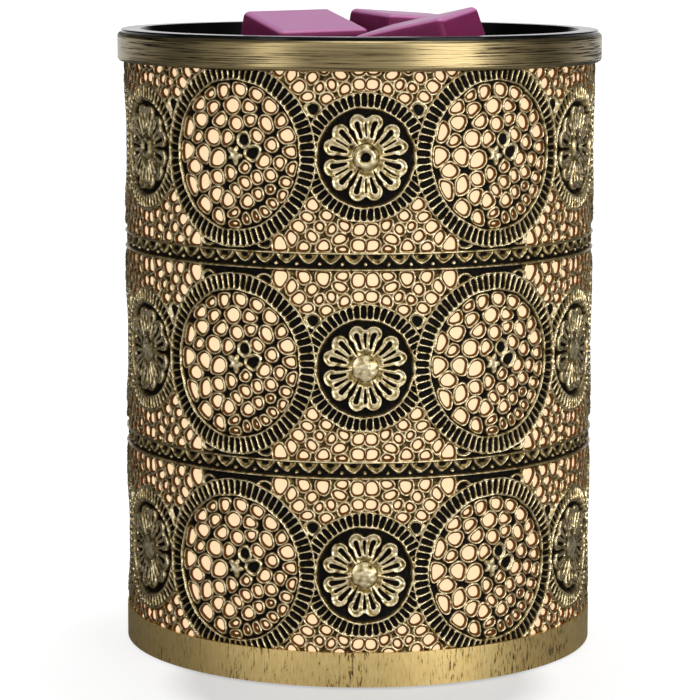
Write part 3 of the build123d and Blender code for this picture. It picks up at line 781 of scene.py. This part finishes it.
def sheetMesh(name, us, vs, fields, middle):
    # the relief as a mesh centred on +X, with the walls of its holes; the fields have one more line all round
    du = us[1] - us[0]
    dv = vs[1] - vs[0]
    full = fields["height"]
    slopeU = (full[2:, 1:-1] - full[:-2, 1:-1]) / (2 * du)
    slopeV = (full[1:-1, 2:] - full[1:-1, :-2]) / (2 * dv)
    gu, gv = np.meshgrid(us, vs, indexing="ij")
    inner = {key: value[1:-1, 1:-1] for key, value in fields.items()}
    solid = inner["hole"] > 0
    index = np.arange(gu.size).reshape(gu.shape)
    ends, share = holeOutlines(solid, inner["hole"], index)
    grids = {"u": gu, "v": gv, "height": inner["height"], "bright": inner["bright"], "rim": inner["rim"],
             "su": slopeU, "sv": slopeV}
    surface = {}
    for key, value in grids.items():
        value = value.ravel()
        surface[key] = np.concatenate([value, value[ends[:, 0]] * (1 - share) + value[ends[:, 1]] * share])
    surface["rim"][gu.size:] = 1.0
    faces, walls = clipFaces(solid, index, ends, gu.size)

    # the walls of the holes go straight in
    total = len(surface["u"])
    rimPoints = np.unique(np.array(walls).reshape(-1, 2))
    order = {point: i for i, point in enumerate(rimPoints.tolist())}
    outer = onCylinder(surface["u"], surface["v"], shell["sheet"] + surface["height"], middle)
    foot = onCylinder(surface["u"][rimPoints], surface["v"][rimPoints], shell["inside"], middle)
    points = np.concatenate([outer, outer[rimPoints], foot])
    for a, b in walls:
        wallA, wallB = total + order[a], total + order[b]
        faces.append([wallB, wallA, wallA + len(rimPoints), wallB + len(rimPoints)])

    # normals straight from the relief, so that neighbours join without a seam
    angle = surface["u"] / shell["crest"]
    normal = np.stack([
        np.cos(angle) + surface["su"] * np.sin(angle),
        np.sin(angle) - surface["su"] * np.cos(angle),
        -surface["sv"],
    ], 1)
    normal /= np.linalg.norm(normal, axis=1, keepdims=True)
    inward = np.zeros((len(rimPoints), 3))
    for a, b in walls:
        out = np.cross([math.cos(angle[a]), math.sin(angle[a]), 0.0], outer[b] - outer[a])
        inward[order[a]] -= out
        inward[order[b]] -= out
    inward /= np.linalg.norm(inward, axis=1, keepdims=True) + 1e-12

    mesh = bpy.data.meshes.new(name)
    mesh.from_pydata(points.tolist(), [], faces)
    # painted glow on the hole walls: full rim value, and more wall colour towards their foot
    for key, topValue, footValue in (("bright", 0.35, 0.0), ("rim", 1.0, 1.0), ("wall", 0.35, 1.0)):
        base = surface[key] if key in surface else np.zeros(total)
        values = np.concatenate([base, np.full(len(rimPoints), topValue), np.full(len(rimPoints), footValue)])
        mesh.attributes.new(key, "FLOAT", "POINT").data.foreach_set("value", values.astype(np.float32))

    # a flat map; the walls step a little into their holes on it
    step = 0.16 * inward[:, 1:3]
    mapU = np.concatenate([surface["u"], surface["u"][rimPoints], surface["u"][rimPoints] + step[:, 0]])
    mapV = np.concatenate([surface["v"], surface["v"][rimPoints], surface["v"][rimPoints] + step[:, 1]])
    size = max(us[-1] - us[0], vs[-1] - vs[0])
    loops = np.zeros(len(mesh.loops), dtype=np.int32)
    mesh.loops.foreach_get("vertex_index", loops)
    flatMap = np.stack([(mapU - us[0]) / size, (mapV - vs[0]) / size], 1)[loops]
    uv = mesh.uv_layers.new(name="OFBake")
    uv.data.foreach_set("uv", (0.004 + 0.992 * flatMap).astype(np.float32).ravel())
    mesh.polygons.foreach_set("use_smooth", np.ones(len(mesh.polygons), dtype=bool))
    mesh.normals_split_custom_set_from_vertices(np.concatenate([normal, inward, inward]).tolist())
    return mesh


def shellRow(row, bandTop, rimFoot, inletLevel):
    # the three meshes of a row: a whole period, and the two that stop at the rear joint
    middle = shellFoot + rowPitch * (row + 0.5)
    low = bandTop - shell["tuck"] if row == 0 else middle - rowPitch / 2
    high = rimFoot + shell["tuck"] if row == shell["rows"] - 1 else middle + rowPitch / 2
    us = np.linspace(-halfPeriod, halfPeriod, shell["columns"] + 1)
    vs = np.linspace(low - middle, high - middle, round((high - low) / rowPitch * shell["lines"]) + 1)
    du = us[1] - us[0]
    dv = vs[1] - vs[0]
    gu, gv = np.meshgrid(np.concatenate([[us[0] - du], us, [us[-1] + du]]),
                         np.concatenate([[vs[0] - dv], vs, [vs[-1] + dv]]), indexing="ij")
    flat = patternAt(gu.ravel(), gv.ravel(), row)
    fields = {key: value.reshape(gu.shape) for key, value in flat.items()}
    hidden = (gv + middle < bandTop) | (gv + middle > rimFoot)
    lay(fields, hidden, height=np.minimum(fields["height"], shell["tuckedHeight"]))
    meshes = {"whole": sheetMesh(f"shellRow{row}", us, vs, fields, middle)}
    cut = round((halfPeriod - rearEdge) / du)
    for name, first, last in (("first", cut, len(us)), ("last", 0, len(us) - cut)):
        part = {key: value[first:last + 2].copy() for key, value in fields.items()}
        partU, partV = gu[first:last + 2], gv[first:last + 2]
        rearSide = partU < 0 if name == "first" else partU > 0
        lapped = dict(part)
        addRearLap(lapped, partU, partV, middle)
        part = {key: np.where(rearSide, lapped[key], part[key]) for key in part}
        if row == 0:
            steps = shell["periods"] / 2
            turn = shell["turn"] + periodAngle * (-steps if name == "first" else steps)
            bearing = (shell["inletBearing"] - turn + 180.0) % 360.0 - 180.0
            inlet = math.radians(bearing) * shell["crest"]
            off = np.hypot(partU - inlet, partV + middle - inletLevel) - shell["inletHole"]
            part["hole"] = np.minimum(part["hole"], off)
            lay(part, off < shell["inletLand"], height=np.minimum(part["height"], 0.0))
        meshes[name] = sheetMesh(f"shellRow{row}{name}", us[first:last], vs, part, middle)
    return meshes


shellFinishAndGlow = {
    "recess": (0.0034, 0.0030, 0.0030),
    "stained": (0.045, 0.031, 0.014),
    "worn": (0.34, 0.245, 0.088),
    "polished": (0.98, 0.85, 0.56),
    # painted glow of the liner's light on the holes' edges and walls
    "holeRimGlow": (0.15, 0.050, 0.009),
    "holeWallGlow": (0.30, 0.062, 0.014),
}


def shellBrass():
    mat, tree, bsdf = newMaterial("antiqueBrass")
    bright = attribute(tree, "bright")
    rim = attribute(tree, "rim")
    wall = attribute(tree, "wall")
    worn = noise(tree, 900, 5, 0.65)
    brushed = noise(tree, 1.0, 3, 0.6, (2600, 2600, 260))
    cloudy = noise(tree, 55, 3, 0.5)
    shade = calc(tree, "MULTIPLY_ADD", worn, 0.5, -0.27)
    shade = calc(tree, "ADD", shade, calc(tree, "MULTIPLY_ADD", brushed, 0.34, -0.17))
    patchy = calc(tree, "MULTIPLY", shade, calc(tree, "MULTIPLY_ADD", bright, 0.4, 0.7))
    level = calc(tree, "ADD", bright, patchy, clamp=True)
    polish = ramp(tree, level, [
        (0.0, shellFinishAndGlow["recess"]),
        (0.20, shellFinishAndGlow["stained"]),
        (0.48, shellFinishAndGlow["worn"]),
        (0.92, shellFinishAndGlow["polished"]),
    ])
    tint = blendColour(tree, cloudy, (0.80, 0.77, 0.72), (1.0, 1.0, 0.97))
    brass = blendColour(tree, 1.0, polish, tint, "MULTIPLY")
    # painted glow: red-brown liner light painted on the holes' edges and, redder towards the foot, on their
    # walls, with less metal there so that it shows
    edge = blendColour(tree, calc(tree, "MULTIPLY", rim, 0.9), brass, shellFinishAndGlow["holeRimGlow"])
    tree.links.new(blendColour(tree, wall, edge, shellFinishAndGlow["holeWallGlow"]), bsdf.inputs["Base Color"])
    bare = ramp(tree, level, [(0.04, 0.0), (0.30, 0.95)])
    metal = calc(tree, "MULTIPLY", bare, calc(tree, "SUBTRACT", 1.0, calc(tree, "MULTIPLY", rim, 0.85)))
    tree.links.new(metal, bsdf.inputs["Metallic"])
    tree.links.new(ramp(tree, level, [(0.0, 0.55), (0.5, 0.38), (1.0, 0.25)]), bsdf.inputs["Roughness"])
    bsdf.inputs["Specular IOR Level"].default_value = 0.06
    bump(tree, bsdf, calc(tree, "ADD", worn, brushed), 0.00007, 0.7)
    return mat


def makeShell():
    brass = shellBrass()
    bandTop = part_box("base_band")[1][2] / mm
    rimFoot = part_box("rim_ring")[0][2] / mm
    inletLevel = 0.5 * (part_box("cord_bushing")[0][2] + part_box("cord_bushing")[1][2]) / mm
    for row in range(shell["rows"]):
        meshes = shellRow(row, bandTop, rimFoot, inletLevel)
        kinds = ["first", *["whole"] * (shell["periods"] - 1), "last"]
        for i, kind in enumerate(kinds):
            turn = shell["turn"] + periodAngle * (i - shell["periods"] / 2)
            mesh = meshes[kind].copy()
            mesh.transform(Matrix.Rotation(math.radians(turn), 4, "Z"))
            mesh.materials.append(brass)
            piece = bpy.data.objects.new(f"shellRow{row}Part{i}", mesh)
            bpy.context.scene.collection.objects.link(piece)
            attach(piece, "root")
            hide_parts("pierced_shell")


makeShell()
print("shell built")


# liner behind the holes, glowing with painted light that stands in for the bulb's light shining through it
liner = {
    "middle": (1.0, 0.80, 0.50),
    "ends": (1.0, 0.74, 0.46),
    "bulbHeight": 0.079,
    "reach": 0.06,
    "glow": 0.90,
    "plain": {"Base Color": (0.22, 0.16, 0.09, 1), "Roughness": 0.8, "Specular IOR Level": 0.1},
}


def paintedLinerGlow():
    mat, tree, bsdf = newMaterial("linerPaintedGlow")
    setSockets(bsdf, liner["plain"])
    # painted glow, a little paler in colour at the bulb's height and more orange towards the liner's ends,
    # unevenly strong
    away = calc(tree, "ABSOLUTE", calc(tree, "SUBTRACT", axisOf(tree, "Object", "Z"), liner["bulbHeight"]))
    share = calc(tree, "DIVIDE", away, liner["reach"], clamp=True)
    uneven = calc(tree, "MULTIPLY_ADD", noise(tree, 420, 3, 0.5), 0.12, 0.94)
    tree.links.new(blendColour(tree, share, liner["middle"], liner["ends"]), bsdf.inputs["Emission Color"])
    tree.links.new(calc(tree, "MULTIPLY", uneven, liner["glow"]), bsdf.inputs["Emission Strength"])
    return mat


dress("diffuser_liner", paintedLinerGlow())
print("liner lit")


# rim ring and base band
plainBrass = {
    "rimBrass": {
        "colours": ((0.014, 0.010, 0.006), (0.20, 0.148, 0.064), (0.44, 0.35, 0.18)),
        "cloudy": (26, 26, 120),
        "streak": (60, 60, 5200),     # long in the direction that is small
        "worn": (0.41, 0.54),         # streaks darker than this, on clear and on cloudy places
        "roughness": 0.28,
    },
    "bandBrass": {
        "colours": ((0.070, 0.036, 0.010), (0.80, 0.56, 0.20), (0.98, 0.76, 0.34)),
        "cloudy": (60, 60, 30),
        "streak": (2600, 2600, 420),
        "worn": (0.36, 0.48),
        "roughness": 0.36,
    },
}


def brushedBrass(name):
    look = plainBrass[name]
    mat, tree, bsdf = newMaterial(name)
    cloudy = noise(tree, 1.0, 3, 0.6, look["cloudy"])
    streak = noise(tree, 1.0, 4, 0.62, look["streak"])
    dark, mid, light = look["colours"]
    brass = blendColour(tree, ramp(tree, streak, [(0.36, 0.0), (0.68, 1.0)]), mid, light)
    clear, most = look["worn"]
    cut = calc(tree, "MULTIPLY_ADD", ramp(tree, cloudy, [(0.42, 0.0), (0.66, 1.0)]), most - clear, clear)
    scratch = calc(tree, "MULTIPLY", calc(tree, "SUBTRACT", cut, streak), 16.0, clamp=True)
    brass = blendColour(tree, scratch, brass, dark)
    tree.links.new(brass, bsdf.inputs["Base Color"])
    bsdf.inputs["Metallic"].default_value = 0.92
    tree.links.new(calc(tree, "MULTIPLY_ADD", scratch, 0.25, look["roughness"]), bsdf.inputs["Roughness"])
    bump(tree, bsdf, streak, 0.00003, 0.5)
    return mat


dress("rim_ring", brushedBrass("rimBrass"))
dress("base_band", brushedBrass("bandBrass"))
print("rim and band brushed")


# black dish
def dishEnamel():
    mat, tree, bsdf = newMaterial("dishEnamel")
    tone = noise(tree, 90, 3, 0.5)
    tree.links.new(ramp(tree, tone, [(0.35, 0.0015), (0.7, 0.004)]), bsdf.inputs["Base Color"])
    tree.links.new(calc(tree, "MULTIPLY_ADD", tone, 0.1, 0.10), bsdf.inputs["Roughness"])
    bsdf.inputs["Specular IOR Level"].default_value = 0.14
    bump(tree, bsdf, noise(tree, 500, 2), 0.00002, 0.4)
    return mat


dress("wax_dish", dishEnamel())
print("dish enamelled")


# wax melts
wax = {
    "deep": (0.16, 0.008, 0.060),
    "pale": (0.25, 0.028, 0.12),
    # colour of the painted light on faces that look up
    "paintedTopLight": (0.60, 0.27, 0.50),
    # colour of the painted highlight along the rounded edges
    "edge": (0.72, 0.30, 0.56),
    "topFaces": [(0.55, 0.0), (0.9, 1.0)],      # by how far a face looks up; these get the paler, painted top light
    "paintedEdgeHighlight": [(0.40, 0.0), (0.62, 0.55), (0.80, 0.55), (0.93, 0.0)],
    "plain": {
        "Subsurface Weight": 0.2,
        "Subsurface Radius": (1.0, 0.3, 0.6),
        "Subsurface Scale": 0.002,
        "Roughness": 0.36,
        "Specular IOR Level": 0.1,
    },
}


def waxMaterial():
    mat, tree, bsdf = newMaterial("purpleWax")
    setSockets(bsdf, wax["plain"])
    upward = axisOf(tree, "Normal", "Z")
    cloudy = noise(tree, 130, 4, 0.55)
    grain = noise(tree, 1500, 3, 0.6)
    colour = blendColour(tree, calc(tree, "MULTIPLY", cloudy, 0.5), wax["deep"], wax["pale"])
    # painted light: faces that look up are lightened, as if lit from above
    paintedTopLight = calc(tree, "MULTIPLY", ramp(tree, upward, wax["topFaces"]), 0.85)
    colour = blendColour(tree, calc(tree, "MULTIPLY_ADD", grain, 0.08, paintedTopLight), colour, wax["paintedTopLight"])
    # painted highlight on the rounded edges between tops and sides
    colour = blendColour(tree, ramp(tree, upward, wax["paintedEdgeHighlight"]), colour, wax["edge"])
    tree.links.new(colour, bsdf.inputs["Base Color"])
    bump(tree, bsdf, grain, 0.00005, 0.5)
    return mat


waxFinish = waxMaterial()
for node in ("wax_melt_left", "wax_melt_right", "wax_melt_back"):
    dress(node, waxFinish)
print("wax finished")


# parts inside and underneath
def plainFinish(name, colour, metallic, roughness, scale, spread, bumpDepth):
    mat, tree, bsdf = newMaterial(name)
    tone = noise(tree, scale, 4, 0.6)
    darker = tuple(c * (1 - spread) for c in colour)
    tree.links.new(ramp(tree, tone, [(0.3, darker), (0.7, colour)]), bsdf.inputs["Base Color"])
    bsdf.inputs["Metallic"].default_value = metallic
    tree.links.new(calc(tree, "MULTIPLY_ADD", tone, 0.2, roughness - 0.1), bsdf.inputs["Roughness"])
    bump(tree, bsdf, tone, bumpDepth, 0.5)
    return mat


def clearGlass():
    mat, tree, bsdf = newMaterial("bulbGlass")
    tone = ramp(tree, noise(tree, 40, 2), [(0.3, (1.0, 0.90, 0.72)), (0.7, (1.0, 0.94, 0.80))])
    tree.links.new(tone, bsdf.inputs["Base Color"])
    bsdf.inputs["Transmission Weight"].default_value = 1.0
    bsdf.inputs["Roughness"].default_value = 0.02
    bsdf.inputs["IOR"].default_value = 1.2
    return mat


def hotWire():
    mat, tree, bsdf = newMaterial("hotWire")
    heat = ramp(tree, noise(tree, 300, 2), [(0.3, (1.0, 0.52, 0.16)), (0.7, (1.0, 0.66, 0.28))])
    tree.links.new(heat, bsdf.inputs["Emission Color"])
    bsdf.inputs["Emission Strength"].default_value = 6.0
    return mat


zinc = plainFinish("zincPlate", (0.60, 0.60, 0.57), 0.9, 0.38, 260, 0.3, 0.00003)
screwBrass = plainFinish("turnedBrass", (0.72, 0.55, 0.26), 0.95, 0.3, 320, 0.25, 0.00002)
blackPaint = plainFinish("satinBlackPaint", (0.045, 0.043, 0.04), 0.1, 0.45, 700, 0.3, 0.00004)
rubber = plainFinish("blackRubber", (0.035, 0.034, 0.033), 0.0, 0.75, 1200, 0.35, 0.00006)
phenolic = plainFinish("blackPhenolic", (0.05, 0.042, 0.036), 0.0, 0.35, 500, 0.3, 0.00003)
nickel = plainFinish("nickelCap", (0.72, 0.71, 0.66), 0.95, 0.28, 300, 0.2, 0.00002)
vitrite = plainFinish("blackVitrite", (0.03, 0.03, 0.035), 0.0, 0.2, 400, 0.3, 0.00002)
creamPlastic = plainFinish("creamPlastic", (0.80, 0.75, 0.62), 0.0, 0.45, 600, 0.12, 0.00003)
blackSleeve = plainFinish("blackSleeve", (0.04, 0.04, 0.04), 0.0, 0.5, 900, 0.3, 0.00003)
whiteSleeve = plainFinish("whiteSleeve", (0.80, 0.79, 0.75), 0.0, 0.5, 900, 0.12, 0.00003)
glass = clearGlass()

finishes = {
    "base_plate": blackPaint,
    "feet": rubber,
    "cord_bushing": rubber,
    "base_screws": zinc,
    "base_nuts": zinc,
    "socket_bracket": zinc,
    "bracket_screws": zinc,
    "socket_lock_nut": zinc,
    "terminal_screws": zinc,
    "bulb_tip": zinc,
    "socket_nipple": screwBrass,
    "socket_shell": screwBrass,
    "socket_contact": screwBrass,
    "socket_housing": phenolic,
    "bulb_cap": nickel,
    "bulb_insulator": vitrite,
    "bulb_glass": glass,
    "bulb_stem": glass,
    "bulb_filament": hotWire(),
    "terminal_block": creamPlastic,
    "lead_live": blackSleeve,
    "lead_neutral": whiteSleeve,
}
for node, finish in finishes.items():
    dress(node, finish)
print("inner parts finished")
